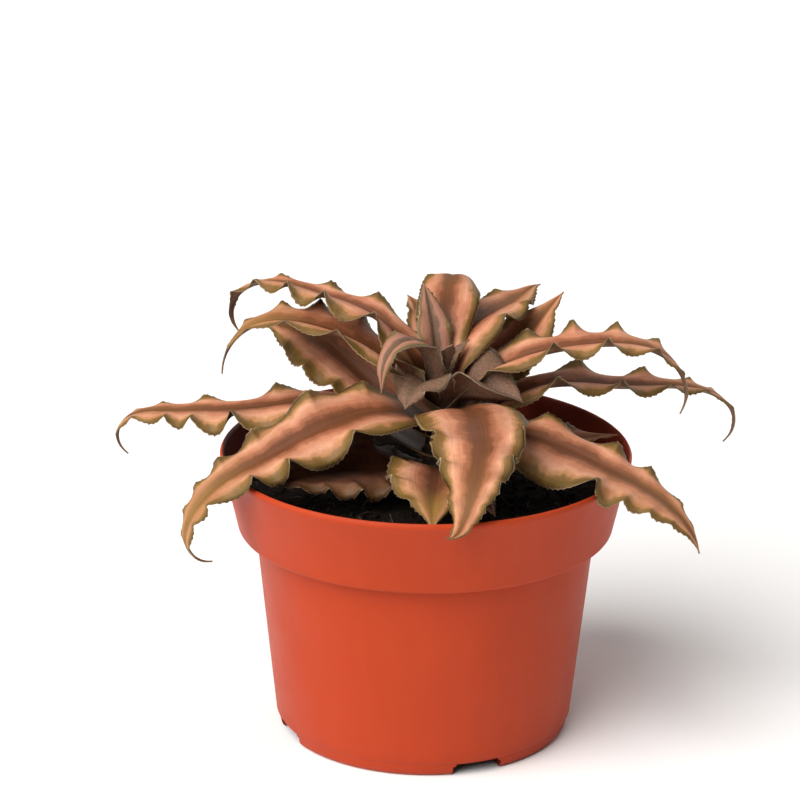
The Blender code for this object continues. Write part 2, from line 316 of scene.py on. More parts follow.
def mix_section():
    """The mix's section from the pot floor up its wall and in across the top."""
    ledge = POT_HEIGHT - COLLAR_HEIGHT
    gap = WALL + MIX_GAP
    rise = [
        (0.0, FLOOR + MIX_GAP),
        (FOOT - 0.0042, FLOOR + MIX_GAP),
        (FOOT - gap - 0.0003, FOOT_HEIGHT + FLOOR),
        (BODY_TOP - gap, ledge - 0.0009),
        (COLLAR_LOW - gap - 0.0006, ledge + 0.0014),
        (MIX_EDGE, MIX_TOP),
    ]
    across = [(MIX_EDGE * (1 - ring / MIX_RINGS), MIX_TOP) for ring in range(1, MIX_RINGS)]
    return [*rise, *across, (0.0, MIX_TOP)]


def peat(name, dark, light):
    """Damp peat: nearly black in the hollows, browner on the dry crumbs."""
    paint = Paint(name)
    fine = paint.noise(700, detail=8, rough=0.7)
    clump = paint.noise(160, detail=4)
    colour = paint.mix(paint.span(fine, 0.42, 0.68), dark, light)
    colour = paint.mix(paint.span(clump, 0.35, 0.7, 0.0, 0.6), colour, dark)
    pore = paint.add("TexVoronoi", out="Distance", inputs={"Scale": 650, "Vector": paint.place()})
    deep = paint.bump(fine, 0.9, 0.0008, under=paint.bump(pore, 0.6, 0.0006))
    return paint.finish(colour, paint.span(clump, 0.3, 0.7, 0.78, 0.95), deep, Specular_IOR_Level=0.10)


mix_mesh = revolved("potting_mix_fill", mix_section(), MIX_STEPS)
for vert in mix_mesh.vertices:
    if vert.co.z > MIX_TOP - 0.0001:
        vert.co.z = mix_height(vert.co.x, vert.co.y)
mix_mesh.shade_smooth()
damp = peat("damp_peat", (0.0045, 0.0029, 0.0020), (0.026, 0.015, 0.009))
fill = put("potting_mix_fill", mix_mesh, damp)
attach(fill, "root")
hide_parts("potting_mix")


def lie_on_mix(chance, nearest=0.009):
    """A spot on the mix's surface, clear of the stem and the pot wall."""
    while True:
        reach = (MIX_EDGE - 0.0025) * sqrt(chance.random())
        turn = chance.uniform(0, 2 * pi)
        x, y = reach * cos(turn), reach * sin(turn)
        if sqrt((x - STEM_X) ** 2 + y * y) > nearest:
            return Vector((x, y, mix_height(x, y)))


def make_crumbs(count, seed):
    """Broken crumbs of peat and bark, each an irregular lump sunk part-way into the surface."""
    chance = random.Random(seed)
    form = bmesh.new()
    for _ in range(count):
        size = 0.0004 + 0.0017 * chance.random() ** 3
        spot = lie_on_mix(chance)
        made = bmesh.ops.create_icosphere(form, subdivisions=1, radius=size)["verts"]
        squash = Vector([chance.uniform(*limits) for limits in ((0.6, 1.5), (0.6, 1.2), (0.4, 0.9))])
        turn = Matrix.Rotation(chance.uniform(0, 2 * pi), 3, "Z")
        turn = turn @ Matrix.Rotation(chance.uniform(0, 1), 3, "X")
        for vert in made:
            jag = 1 + chance.uniform(-0.3, 0.3)
            vert.co = spot + turn @ (vert.co * squash * jag) + Vector((0, 0, size * 0.25))
    mesh = bpy.data.meshes.new("peat_crumbs")
    form.to_mesh(mesh)
    form.free()
    return mesh


dry = peat("dry_peat", (0.008, 0.005, 0.0035), (0.050, 0.029, 0.017))
crumbs = put("peat_crumbs", make_crumbs(CRUMBS, 11), dry)
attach(crumbs, "root")


def make_fibres(count, seed):
    """Root and peat fibres: hair-thin curved tubes lying on the surface."""
    chance = random.Random(seed)
    points, faces = [], []
    for _ in range(count):
        spot = lie_on_mix(chance, nearest=0.012)
        turn = chance.uniform(0, 2 * pi)
        bend = chance.uniform(-1.6, 1.6)
        length = chance.uniform(0.003, 0.009)
        thick = chance.uniform(0.00008, 0.00018)
        first = len(points)
        steps = 7
        for step in range(steps + 1):
            heading = turn + bend * step / steps
            away = Vector((cos(heading), sin(heading), 0))
            side = Vector((-away.y, away.x, 0))
            spot = spot + away * length / steps
            if sqrt(spot.x**2 + spot.y**2) > MIX_EDGE - 0.001:
                spot = spot - away * length / steps
            arch = 0.0006 * sin(pi * step / steps)
            centre = Vector((spot.x, spot.y, mix_height(spot.x, spot.y) + thick * 1.5 + arch))
            for corner in (0, 1, 2):
                around = corner * 2 * pi / 3
                above = Vector((0, 0, thick * sin(around)))
                points.append(centre + side * thick * cos(around) + above)
            if step:
                base = first + 3 * (step - 1)
                for corner in (0, 1, 2):
                    after = (corner + 1) % 3
                    faces.append((base + corner, base + after, base + 3 + after, base + 3 + corner))
        faces.append((first + 2, first + 1, first))
        faces.append((first + 3 * steps, first + 3 * steps + 1, first + 3 * steps + 2))
    mesh = bpy.data.meshes.new("root_fibres")
    mesh.from_pydata(points, [], faces)
    return mesh


def fibre_surface():
    """Dead root hair: straw to dark brown along each strand."""
    paint = Paint("root_fibre")
    stops = [(0.35, (0.030, 0.018, 0.011)), (0.7, (0.17, 0.11, 0.06))]
    tone = paint.ramp(paint.noise(240, detail=3), stops)
    roughness = paint.span(paint.noise(400), 0.3, 0.7, 0.6, 0.85)
    return paint.finish(tone, roughness, Specular_IOR_Level=0.3)


fibres = put("root_fibres", make_fibres(FIBRES, 5), fibre_surface())
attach(fibres, "root")


# -------------------------------------------------------------------------------------------------------
# The moss. A little yellow-green moss that has grown on the damp mix near the front of the pot: tufts of
# short pointed blades, each tuft sprouting from one spot.

# Each tuft's middle and how far it spreads.
MOSS_SPOTS = (
    (-0.0105, -0.0575, 0.0042), (-0.0065, -0.0545, 0.0038), (-0.0145, -0.0535, 0.0032),
    (-0.0030, -0.0590, 0.0026), (-0.0090, -0.0500, 0.0026), (0.0310, -0.0500, 0.0022),
)
BLADES_PER_METRE = 11000


def make_moss(seed):
    """Tufts of blades: each a bent three-sided spike a few millimetres high."""
    chance = random.Random(seed)
    points, faces = [], []
    for x, y, spread in MOSS_SPOTS:
        for _ in range(int(BLADES_PER_METRE * spread)):
            turn, lean = chance.uniform(0, 2 * pi), chance.uniform(0.2, 1.1)
            off = spread * sqrt(chance.random())
            root_x, root_y = x + off * cos(turn), y + off * sin(turn)
            root = Vector((root_x, root_y, mix_height(root_x, root_y) - 0.0003))
            height = chance.uniform(0.0012, 0.0036)
            out = Vector((cos(turn), sin(turn), 0))
            side = Vector((-out.y, out.x, 0)) * chance.uniform(0.00022, 0.00040)
            middle = root + Vector((0, 0, height * 0.6)) + out * height * 0.3 * lean
            tip = root + Vector((0, 0, height)) + out * height * lean
            back = out * 0.00018
            base = len(points)
            points += [root - side, root + side, root + back]
            points += [middle - side, middle + side, middle + back, tip]
            for corner in (0, 1, 2):
                after = (corner + 1) % 3
                faces.append((base + corner, base + after, base + 3 + after, base + 3 + corner))
                faces.append((base + 3 + corner, base + 3 + after, base + 6))
            faces.append((base + 2, base + 1, base))
    mesh = bpy.data.meshes.new("moss")
    mesh.from_pydata(points, [], faces)
    mesh.shade_smooth()
    return mesh


def moss_surface():
    """Moss: yellow-green at the tips, browner where it is old."""
    paint = Paint("moss")
    tone = paint.ramp(
        paint.noise(520, detail=4),
        [(0.32, (0.050, 0.044, 0.012)), (0.52, (0.150, 0.130, 0.030)), (0.72, (0.330, 0.270, 0.080))],
    )
    roughness = paint.span(paint.noise(300), 0.3, 0.7, 0.55, 0.8)
    return paint.finish(tone, roughness, Specular_IOR_Level=0.3)


moss = put("moss", make_moss(3), moss_surface())
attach(moss, "root")


# -------------------------------------------------------------------------------------------------------
# The stem. Short, woody and hidden under the leaf bases: it is rooted in the mix and carries every leaf.
# Its solid keeps its shape and gets a surface of old, scarred tissue, painted dark as painted shade.


def stem_painted_shade_surface():
    """Old stem tissue, painted dark for the shade under the leaf bases: brown, with rings of papery
    scars where leaves were.
    """
    paint = Paint("stem_tissue")
    scars = paint.add(
        "TexWave", out="Fac", bands_direction="Z",
        inputs={"Vector": paint.place(), "Scale": 90, "Distortion": 6, "Detail": 3, "Detail Scale": 2},
    )
    # Painted shade: both colours are kept near black-brown, for the shade the stem stands in under the
    # leaves.
    tone = paint.ramp(scars, [(0.2, (0.016, 0.009, 0.005)), (0.75, (0.062, 0.036, 0.021))])
    patches = paint.span(paint.noise(400, detail=6), 0.45, 0.7, 0.0, 0.6)
    tone = paint.mix(patches, tone, (0.034, 0.018, 0.010))
    relief = paint.bump(scars, 0.5, 0.0008, under=paint.bump(paint.noise(900, detail=6), 0.4, 0.0004))
    return paint.finish(tone, paint.span(scars, 0.0, 1.0, 0.9, 0.7), relief, Specular_IOR_Level=0.3)


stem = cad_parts["stem"]
stem.data.materials.clear()
stem.data.materials.append(stem_painted_shade_surface())


# -------------------------------------------------------------------------------------------------------
# The grown leaves. Each clasps the stem with a narrow neck, widens to a shoulder and tapers to a fine
# tip. The blade is stiff and thick along its channelled midrib and thins to a crimped margin that stands
# up in points and hangs in round lobes between them, with fine hooked teeth all along it.

STEM_RISE = 0.049
STEM_RADIUS = 0.0075
STEM_TAPER = 0.0055
STEM_GAP = 0.0003
# A leaf's rise where it leaves the stem: at the stem's foot, and what its whole height adds.
FOOT_LIFT = 10
TOP_LIFT = 75
# Millimetres that a seat moves up for each degree that the leaf is raised.
SEAT_SHIFT = 0.3
LIFT_AT = np.array((0.0, 0.15, 0.4, 0.65, 0.85, 1.0))
LEAF_THICKNESS = 0.0013
# The shares of its thickness that a blade loses by its tip, and by its margin.
TIP_THINNING = 0.5
EDGE_THINNING = 0.45
TOOTH_EVERY = 0.0021
TOOTH = 0.00062
SPINE_STEPS = 176
CROWN = radians(17)
FINEST = 0.00018
# Millimetres between a margin's standing points, where a leaf doesn't list them.
POINT_EVERY = 22
# Places across half the blade, from the midrib to the margin, where the mesh has a row of points.
ROWS = np.array((0.0, 0.13, 0.29, 0.46, 0.62, 0.76, 0.89, 1.0))

# How each leaf leaves the stem and arches, in degrees, millimetres and shares of its length.
# heading: the way it points, turned from +X. seat: how far up the stem. lift: the midrib's rise above
# level at each share in LIFT_AT but the first. sway: how far it curves sideways. roll, twist: the
# blade's tilt at its base, and what its length adds. fold: how far the flanks rise from the midrib.
# shoulder: where it is widest. raised: how far the leaves under it push it up. neck: the base's width
# against the shoulder's. depth: how far the margins are crimped. skew: how much wider the left flank
# is. calm: the share over which the crimp sets in. clasp: the share over which it opens out from
# round the stem. left, right: where each margin stands up.
Leaf = namedtuple(
    "Leaf",
    "heading seat length width lift sway roll twist fold shoulder"
    " raised neck depth skew calm clasp left right",
    defaults=(0, 0, 0, 12, 0.44, 0, 0.5, 44, 0, 0.22, 0.35, (), ()),
)
GROWN = {
    "01": Leaf(290, 5, 52, 15, (12, 10, 4, 0, -10), neck=0.9),
    "02": Leaf(
        214, 7, 68, 34, (15, 10, 6, 0, -6), roll=-30, neck=0.8, depth=30,
        left=(0.10, 0.22, 0.36, 0.55, 0.72, 0.86), right=(0.15, 0.32, 0.50, 0.68, 0.85),
    ),
    "03": Leaf(100, 7, 58, 22, (15, 10, 5, 0, -20)),
    "04": Leaf(10, 9, 61, 22, (10, 10, 5, 5, 5), roll=10),
    "05": Leaf(67, 12, 62, 24, (25, 15, 8, 0, -20)),
    "06": Leaf(
        268, 10, 66, 38, (8, 3, 2, -10, -50), raised=1, neck=0.8, depth=20,
        left=(0.12, 0.34, 0.52, 0.70, 0.86), right=(0.10, 0.30, 0.58, 0.80, 0.92),
    ),
    "07": Leaf(133, 13, 58, 22, (15, 8, 2, 0, -20)),
    "08": Leaf(
        168, 15, 135, 32, (25, -12, -5, -25, -150), roll=-6, fold=4, shoulder=0.4, neck=0.6, skew=0.32,
        left=(0.12, 0.34, 0.53, 0.66, 0.74, 0.845, 0.93), right=(0.20, 0.45, 0.66, 0.78, 0.85, 0.93),
    ),
    "09": Leaf(
        335, 17, 111, 37, (15, -13, -18, -41, -75), roll=12, fold=5, neck=0.6, skew=-0.32, calm=0.4,
        left=(0.10, 0.30, 0.56, 0.69, 0.835, 0.91), right=(0.16, 0.60, 0.70, 0.785, 0.86, 0.93),
    ),
    "10": Leaf(
        17, 19, 131, 26, (29, -8, -5, -40, -145), shoulder=0.38,
        left=(0.20, 0.42, 0.62, 0.755, 0.82, 0.91), right=(0.12, 0.315, 0.50, 0.66, 0.775, 0.88),
    ),
    "11": Leaf(
        150, 22, 79, 35, (25, 32, 25, 5, 0), roll=-28, shoulder=0.6, neck=0.6, depth=24,
        left=(0.20, 0.45, 0.62, 0.78, 0.90), right=(0.15, 0.40, 0.60, 0.80, 0.92),
    ),
    "12": Leaf(
        205, 25, 128, 36, (6, -20, -25, -80, -180), roll=-38, twist=40, shoulder=0.28, neck=0.6,
        depth=40, skew=0.2,
        left=(0.31, 0.505, 0.615, 0.755, 0.82, 0.90),
        right=(0.19, 0.34, 0.53, 0.65, 0.735, 0.805, 0.87, 0.93),
    ),
    "13": Leaf(42, 27, 68, 34, (25, 28, 40, 35, 35), depth=28, neck=0.6),
    "14": Leaf(
        303, 28, 101, 40, (14, -8, -26, -42, 40), sway=-68, shoulder=0.26, raised=1, neck=0.8, depth=50,
        fold=-3, skew=-0.12, calm=0.4, clasp=0.14,
        left=(0.47, 0.60, 0.70, 0.79, 0.87, 0.94), right=(0.50, 0.64, 0.80, 0.92),
    ),
    "15": Leaf(108, 28, 54, 13, (72, 58, 38, 10, 0), shoulder=0.55),
    "16": Leaf(
        174, 30, 100, 29, (48, 24, 0, -50, -90), shoulder=0.38, neck=1.0, depth=32, skew=-0.2,
        left=(0.16, 0.455, 0.64, 0.78, 0.90), right=(0.20, 0.40, 0.545, 0.67, 0.80, 0.90),
    ),
    "17": Leaf(
        8, 32, 112, 28, (26, 8, -10, -60, -120), raised=2,
        left=(0.33, 0.475, 0.615, 0.745, 0.87), right=(0.17, 0.385, 0.555, 0.72, 0.84, 0.93),
    ),
    "18": Leaf(58, 33, 80, 31, (66, 10, 0, 8, -8), raised=3, neck=0.6, depth=32),
    "19": Leaf(
        152, 34, 115, 26, (54, 10, 2, -50, -140), shoulder=0.36, raised=2, neck=1.0, skew=0.35,
        left=(0.12, 0.30, 0.46, 0.60, 0.725, 0.84), right=(0.15, 0.365, 0.525, 0.705, 0.785, 0.86, 0.93),
    ),
    "20": Leaf(84, 36, 70, 24, (75, 45, 10, -25, -60), shoulder=0.55, raised=2, depth=22, fold=-6),
}


def lifts_along(leaf, share, seat):
    """Degrees above level at shares of the length, smooth through the leaf's lift values."""
    base = FOOT_LIFT + TOP_LIFT * seat / STEM_RISE
    values = np.array((base, *leaf.lift), float)
    order = np.arange(len(values))
    after, before = np.minimum(order + 1, order[-1]), np.maximum(order - 1, 0)
    slopes = (values[after] - values[before]) / (LIFT_AT[after] - LIFT_AT[before])
    index = np.clip(np.searchsorted(LIFT_AT, share) - 1, 0, len(values) - 2)
    span = LIFT_AT[index + 1] - LIFT_AT[index]
    t = (share - LIFT_AT[index]) / span
    start = (2 * t**3 - 3 * t**2 + 1) * values[index] + (t**3 - 2 * t**2 + t) * span * slopes[index]
    end = (3 * t**2 - 2 * t**3) * values[index + 1] + (t**3 - t**2) * span * slopes[index + 1]
    return np.minimum(start + end + leaf.raised * (1 - share), 90)


def directions(leaf, share, seat):
    """The forward, side and up directions of the blade at shares of its length."""
    lift = np.radians(lifts_along(leaf, share, seat))
    turn = np.radians(leaf.heading + leaf.sway * share)
    flat = np.zeros_like(share)
    forward = np.stack((np.cos(turn) * np.cos(lift), np.sin(turn) * np.cos(lift), np.sin(lift)), 1)
    side = np.stack((-np.sin(turn), np.cos(turn), flat), 1)
    up = np.cross(forward, side)
    tilt = np.radians(leaf.roll + leaf.twist * share)[:, None]
    return forward, side * np.cos(tilt) + up * np.sin(tilt), up * np.cos(tilt) - side * np.sin(tilt)


def spine(leaf, share):
    """Points along the midrib, from the stem to the tip, and the blade's directions at them."""
    seat = (leaf.seat + SEAT_SHIFT * leaf.raised) * 0.001
    radius = STEM_RADIUS - STEM_TAPER * min(seat / STEM_RISE, 1.0)
    reach = radius + STEM_GAP + LEAF_THICKNESS / 2
    turn = radians(leaf.heading)
    root = np.array((STEM_X + reach * cos(turn), reach * sin(turn), MIX_TOP + seat))
    walk = np.arange(SPINE_STEPS + 1) / SPINE_STEPS
    forward = directions(leaf, walk, seat)[0]
    steps = np.vstack((np.zeros(3), forward[:-1] * leaf.length * 0.001 / SPINE_STEPS))
    path = root + np.cumsum(steps, axis=0)
    points = np.stack([np.interp(share, walk, path[:, axis]) for axis in range(3)], 1)
    return points, *directions(leaf, share, seat)


def half_widths(leaf, share):
    """Half the blade's width: a narrow neck, widest at the shoulder, then a long taper to the tip."""
    neck = leaf.neck + (1 - leaf.neck) * np.sin(pi / 2 * np.minimum(share / leaf.shoulder, 1)) ** 2
    out = np.clip((share - leaf.shoulder) / (1 - leaf.shoulder), 0, 1)
    taper = (1 - out) ** 1.3 * (1 + 1.3 * out)
    return np.maximum(leaf.width * 0.0005 * np.where(share < leaf.shoulder, neck, taper), FINEST)


def crimp(points, share):
    """The margin's crimp: 1 at each standing point, falling off steeply to a round hollow between.

    It rises smoothly to the first point, so the leaf's base stays even."""
    gaps = np.diff(points)
    ends = np.concatenate(([points[0] - gaps[0]], points, [points[-1] + gaps[-1]]))
    index = np.clip(np.searchsorted(ends, share) - 1, 0, len(ends) - 2)
    between = np.clip((share - ends[index]) / (ends[index + 1] - ends[index]), 0, 1)
    room = np.diff(ends)
    size = (np.append(room, room[-1]) + np.insert(room, 0, room[0])) / 2
    size = np.clip(size / np.mean(room), 0.35, 1.2)
    hollow = 1 - 1.65 * np.sin(pi * between) ** 0.9
    wave = np.where(share < points[0], (share / points[0]) ** 6, hollow)
    return wave * np.interp(share, ends, size)


def blade_section(leaf, share, points, hand):
    """Across and above for each row of one side of the blade, and the slope there, at every station."""
    half = half_widths(leaf, share) * (1 + hand * leaf.skew * np.minimum(2 * share, 1))
    ease = np.minimum(share / leaf.calm, 1) ** 1.5 * np.minimum((1 - share) / 0.10, 1)
    wave = crimp(np.array(points), share) * np.radians(leaf.depth) * ease
    fold = np.radians(leaf.fold) * (1.6 - share) * np.minimum(share / 0.3, 1)
    middles = (ROWS[1:] + ROWS[:-1]) / 2
    ramp = np.clip((middles - 0.30) / 0.5, 0, 1)
    ramp = ramp * ramp * (3 - 2 * ramp)
    crown = CROWN * np.cos(pi * middles) * np.minimum(share / 0.2, 1)[:, None]
    slope = fold[:, None] + wave[:, None] * ramp + crown
    step = half[:, None] * np.diff(ROWS)
    across = np.cumsum(step * np.cos(slope), axis=1)
    above = np.cumsum(step * np.sin(slope), axis=1)
    start = np.zeros((len(share), 1))
    slope = np.hstack((slope[:, :1], (slope[:, 1:] + slope[:, :-1]) / 2, slope[:, -1:]))
    return hand * np.hstack((start, across)), np.hstack((start, above)), slope


def tooth_stations(leaf):
    """Shares of the length for the rings, three to a tooth, and how far the tooth stands out there."""
    teeth = max(int(leaf.length * 0.001 / TOOTH_EVERY), 6)
    places = np.array((0.0, 0.36, 0.74))
    share = ((np.arange(teeth)[:, None] + places) / teeth).ravel()
    height = np.tile((0.0, 0.42, 1.0), teeth) * TOOTH
    fade = np.clip(share / 0.12, 0, 1) * np.clip((1 - share) / 0.12, 0, 1)
    return np.append(share, 1.0), np.append(height * fade, 0.0)


def standing_points(leaf, seed):
    """Where each margin stands up: as listed for the leaf, or spaced by chance."""
    chance = random.Random(seed)
    sides = []
    for listed, late in ((leaf.left, 0.0), (leaf.right, 0.5)):
        if not listed:
            count = max(round(leaf.length / POINT_EVERY), 3)
            listed = [(k + 0.15 + late + chance.uniform(-0.15, 0.15)) / count for k in range(count)]
        sides.append(listed)
    return sides


def leaf_mesh(name, leaf):
    """The blade as one closed mesh: rings along its length, with an upper and an under side."""
    share, tooth = tooth_stations(leaf)
    centre, _, side, up = spine(leaf, share)
    seed = int(name[-2:])
    left, right = standing_points(leaf, seed)
    chance = np.random.default_rng(seed)
    parts = []
    for points, hand in ((left, 1), (right, -1)):
        across, above, slope = blade_section(leaf, share, points, hand)
        jag = tooth * chance.uniform(0.6, 1.25, len(share))
        across[:, -1] += hand * jag * np.cos(slope[:, -1])
        above[:, -1] += jag * np.sin(slope[:, -1])
        parts.append((across, above, hand * slope))
    # From the left margin over the midrib to the right margin.
    across, above, slope = (np.hstack((one[:, ::-1], two[:, 1:])) for one, two in zip(*parts))
    slope[:, len(ROWS) - 1] = 0
    rows = np.concatenate((ROWS[::-1], -ROWS[1:]))
    thick = LEAF_THICKNESS / 2 * (1 - TIP_THINNING * share)[:, None] * (1 - EDGE_THINNING * rows**2)
    thick[:, 0] = thick[:, -1] = 0
    blades = []
    for face in (1, -1):
        x = across - face * thick * np.sin(slope)
        z = above + face * thick * np.cos(slope)
        blades.append((x, z) if face == 1 else (x[:, -2:0:-1], z[:, -2:0:-1]))
    across = np.hstack((blades[0][0], blades[1][0]))
    above = np.hstack((blades[0][1], blades[1][1]))
    return ring_mesh(name, share, across, above, (centre, side, up), rows, leaf)


def ring_mesh(name, share, across, above, frames, rows, leaf):
    """Carries the sections into place, wraps the base round the stem and skins the rings."""
    centre, side, up = (part[:, None, :] for part in frames)
    flat = centre + side * across[..., None] + up * above[..., None]
    spoke = centre + up * above[..., None] - np.array((STEM_X, 0, 0))
    turn = across / np.maximum(np.hypot(spoke[..., 0], spoke[..., 1]), 1e-4)
    round_stem = np.stack(
        (
            STEM_X + spoke[..., 0] * np.cos(turn) - spoke[..., 1] * np.sin(turn),
            spoke[..., 0] * np.sin(turn) + spoke[..., 1] * np.cos(turn),
            spoke[..., 2],
        ),
        2,
    )
    wrap = np.maximum(1 - share / leaf.clasp, 0)[:, None, None]
    places = flat * (1 - wrap) + round_stem * wrap
    count = places.shape[1]
    rings = np.arange(len(share) * count).reshape(len(share), count)
    near, far = rings[:-1], rings[1:]
    quads = np.stack((near, np.roll(near, -1, 1), np.roll(far, -1, 1), far), 2).reshape(-1, 4)
    mesh = bpy.data.meshes.new(name)
    caps = [rings[0][::-1].tolist(), rings[-1].tolist()]
    mesh.from_pydata(places.reshape(-1, 3).tolist(), [], quads.tolist() + caps)
    under = (np.arange(count) >= len(rows) - 1).astype(np.int32)
    slots = np.append(np.tile(under, len(share) - 1), (0, 0)).astype(np.int32)
    mesh.polygons.foreach_set("material_index", slots)
    whole = np.concatenate((rows, rows[-2:0:-1]))
    for label, values in (
        ("across", np.tile(whole, (len(share), 1))),
        ("along", np.repeat(share[:, None], count, 1)),
        ("reach", np.repeat(share[:, None] * leaf.length * 0.1, count, 1)),
    ):
        made = mesh.attributes.new(label, "FLOAT", "POINT")
        made.data.foreach_set("value", values.ravel().astype(np.float32))
    mesh.shade_smooth()
    return mesh


def blade_coordinates(paint):
    """Across, along and the place on the blade, which runs in centimetres down the leaf."""
    across = paint.add("Attribute", out="Fac", attribute_name="across")
    along = paint.add("Attribute", out="Fac", attribute_name="along")
    reach = paint.add("Attribute", out="Fac", attribute_name="reach")
    chance = paint.math("MULTIPLY", paint.add("ObjectInfo", out="Random"), 40.0)
    place = paint.add("CombineXYZ", inputs={0: reach, 1: across, 2: chance})
    return across, along, place


def mottle(paint, place, scale, detail=3):
    """Noise on the blade, scaled along the leaf, across it and from leaf to leaf."""
    where = paint.add("Mapping", inputs={"Vector": place, "Scale": scale})
    return paint.noise(1.0, detail=detail, vector=where)


def edge_band(paint, across, start, end, strength):
    """A pale line along both margins."""
    return paint.span(paint.math("ABSOLUTE", across), start, end, 0.0, strength)


def leaf_upper(name, shade_depth, sun):
    """Pink flanks with an olive-brown stripe down the midrib and olive margins, under thin grey scurf.

    shade_depth is how far the pink is painted down to a dull red-brown: painted shade for the low leaves
    under the others.
    sun is how far the tip has bleached to gold."""
    paint = Paint(name)
    across, along, place = blade_coordinates(paint)
    wobble = paint.span(mottle(paint, place, (1.1, 1.6, 1)), 0.3, 0.7, -0.075, 0.075)
    fine = paint.span(mottle(paint, place, (5, 3, 1), detail=2), 0.3, 0.7, -0.02, 0.02)
    shift = paint.math("ADD", wobble, fine)
    out = paint.math("ADD", paint.math("ABSOLUTE", across), shift)
    colour = paint.ramp(
        out,
        [
            (0.00, (0.125, 0.041, 0.014)),
            (0.18, (0.155, 0.050, 0.018)),
            (0.33, (0.320, 0.112, 0.052)),
            (0.47, (0.530, 0.220, 0.120)),
            (0.62, (0.620, 0.300, 0.180)),
            (0.71, (0.450, 0.215, 0.090)),
            (0.79, (0.210, 0.112, 0.032)),
            (0.89, (0.140, 0.082, 0.017)),
            (1.00, (0.105, 0.060, 0.013)),
        ],
    )
    streak = mottle(paint, place, (0.35, 26, 1), detail=4)
    colour = paint.mix(paint.span(streak, 0.42, 0.66, 0.0, 0.16), colour, (0.30, 0.110, 0.060))
    blush = mottle(paint, place, (0.8, 2.2, 1))
    flank = paint.math("MULTIPLY", paint.span(out, 0.25, 0.5), paint.span(out, 0.8, 0.66))
    red = paint.math("MULTIPLY", flank, paint.span(blush, 0.45, 0.72, 0.0, 0.6))
    colour = paint.mix(red, colour, (0.42, 0.125, 0.065))
    toward_tip = paint.span(along, 0.50, 0.85, 0.0, sun)
    golden = paint.math("MULTIPLY", toward_tip, paint.span(out, 1.3, 0.0))
    colour = paint.mix(golden, colour, (0.270, 0.142, 0.036))
    scurf = paint.noise(2400, detail=5, rough=0.75)
    colour = paint.mix(paint.span(scurf, 0.52, 0.80, 0.0, 0.08), colour, (0.46, 0.31, 0.21))
    # Painted shade: each blade is painted darker toward its base, for the shade among the leaf bases.
    base = paint.span(along, 0.18, 0.04, 0.0, 0.85)
    colour = paint.mix(base, colour, (0.085, 0.034, 0.016))
    # Painted shade: the low leaves' copy is darkened in patches to a dull red-brown, for the shade of
    # the leaves above.
    if shade_depth:
        low_leaf_shade = paint.span(mottle(paint, place, (1, 3, 1), detail=4), 0.3, 0.7, shade_depth, 0.7 * shade_depth)
        colour = paint.mix(low_leaf_shade, colour, (0.080, 0.028, 0.013))
    edge = edge_band(paint, across, 0.955, 0.995, 0.85)
    colour = paint.mix(edge, colour, (0.46, 0.31, 0.17))
    ribs = mottle(paint, place, (0.15, 34, 1), detail=2)
    relief = paint.bump(scurf, 0.25, 0.00025, under=paint.bump(ribs, 0.5, 0.0004))
    roughness = paint.span(scurf, 0.35, 0.75, 0.42, 0.62)
    return paint.finish(colour, roughness, relief, Specular_IOR_Level=0.24)


def leaf_under():
    """The underside: grey-brown with close silvery scales in lines, paler at the margin."""
    paint = Paint("leaf_under")
    across, _, place = blade_coordinates(paint)
    wobble = paint.span(mottle(paint, place, (1.2, 2.0, 1)), 0.3, 0.7, -0.08, 0.08)
    out = paint.math("ADD", paint.math("ABSOLUTE", across), wobble)
    colour = paint.ramp(
        out,
        [
            (0.00, (0.120, 0.058, 0.032)),
            (0.40, (0.215, 0.096, 0.055)),
            (0.70, (0.240, 0.112, 0.062)),
            (0.85, (0.150, 0.088, 0.032)),
            (1.00, (0.120, 0.074, 0.026)),
        ],
    )
    lines = mottle(paint, place, (0.5, 30, 1))
    scales = paint.noise(1800, detail=6, rough=0.75)
    covered = paint.span(scales, 0.42, 0.70, 0.0, 0.75)
    silver = paint.math("MULTIPLY", paint.span(lines, 0.35, 0.65, 0.35, 1.0), covered)
    colour = paint.mix(silver, colour, (0.27, 0.185, 0.130))
    edge = edge_band(paint, across, 0.955, 0.995, 0.8)
    colour = paint.mix(edge, colour, (0.42, 0.32, 0.21))
    relief = paint.bump(scales, 0.4, 0.0003, under=paint.bump(lines, 0.5, 0.0004))
    roughness = paint.span(scales, 0.3, 0.7, 0.55, 0.75)
    return paint.finish(colour, roughness, relief, Specular_IOR_Level=0.25)


# The low leaves get a darker copy, painted shade from the leaves above. The sun has bleached the tips of
# three others.
SHADED_LEAVES = ("01", "02", "03", "04", "05", "07")
SUNNED_LEAVES = ("06", "12", "16")
upper, shaded_upper = leaf_upper("leaf_upper", 0, 0.3), leaf_upper("leaf_upper_painted_shade", 0.9, 0.3)
sunned, under = leaf_upper("leaf_upper_sunned", 0, 0.95), leaf_under()
for number, grown in GROWN.items():
    face = shaded_upper if number in SHADED_LEAVES else sunned if number in SUNNED_LEAVES else upper
    blade = put("leaf_blade_" + number, leaf_mesh("leaf_blade_" + number, grown), face, under)
    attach(blade, "root")
    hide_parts("leaf_" + number)


# -------------------------------------------------------------------------------------------------------
# The young leaves. The newest leaves unroll round the growing point: short, soft and still wrapped in
# the grey-brown scurf that wears off as they open. Two have opened far enough to show their stripes.

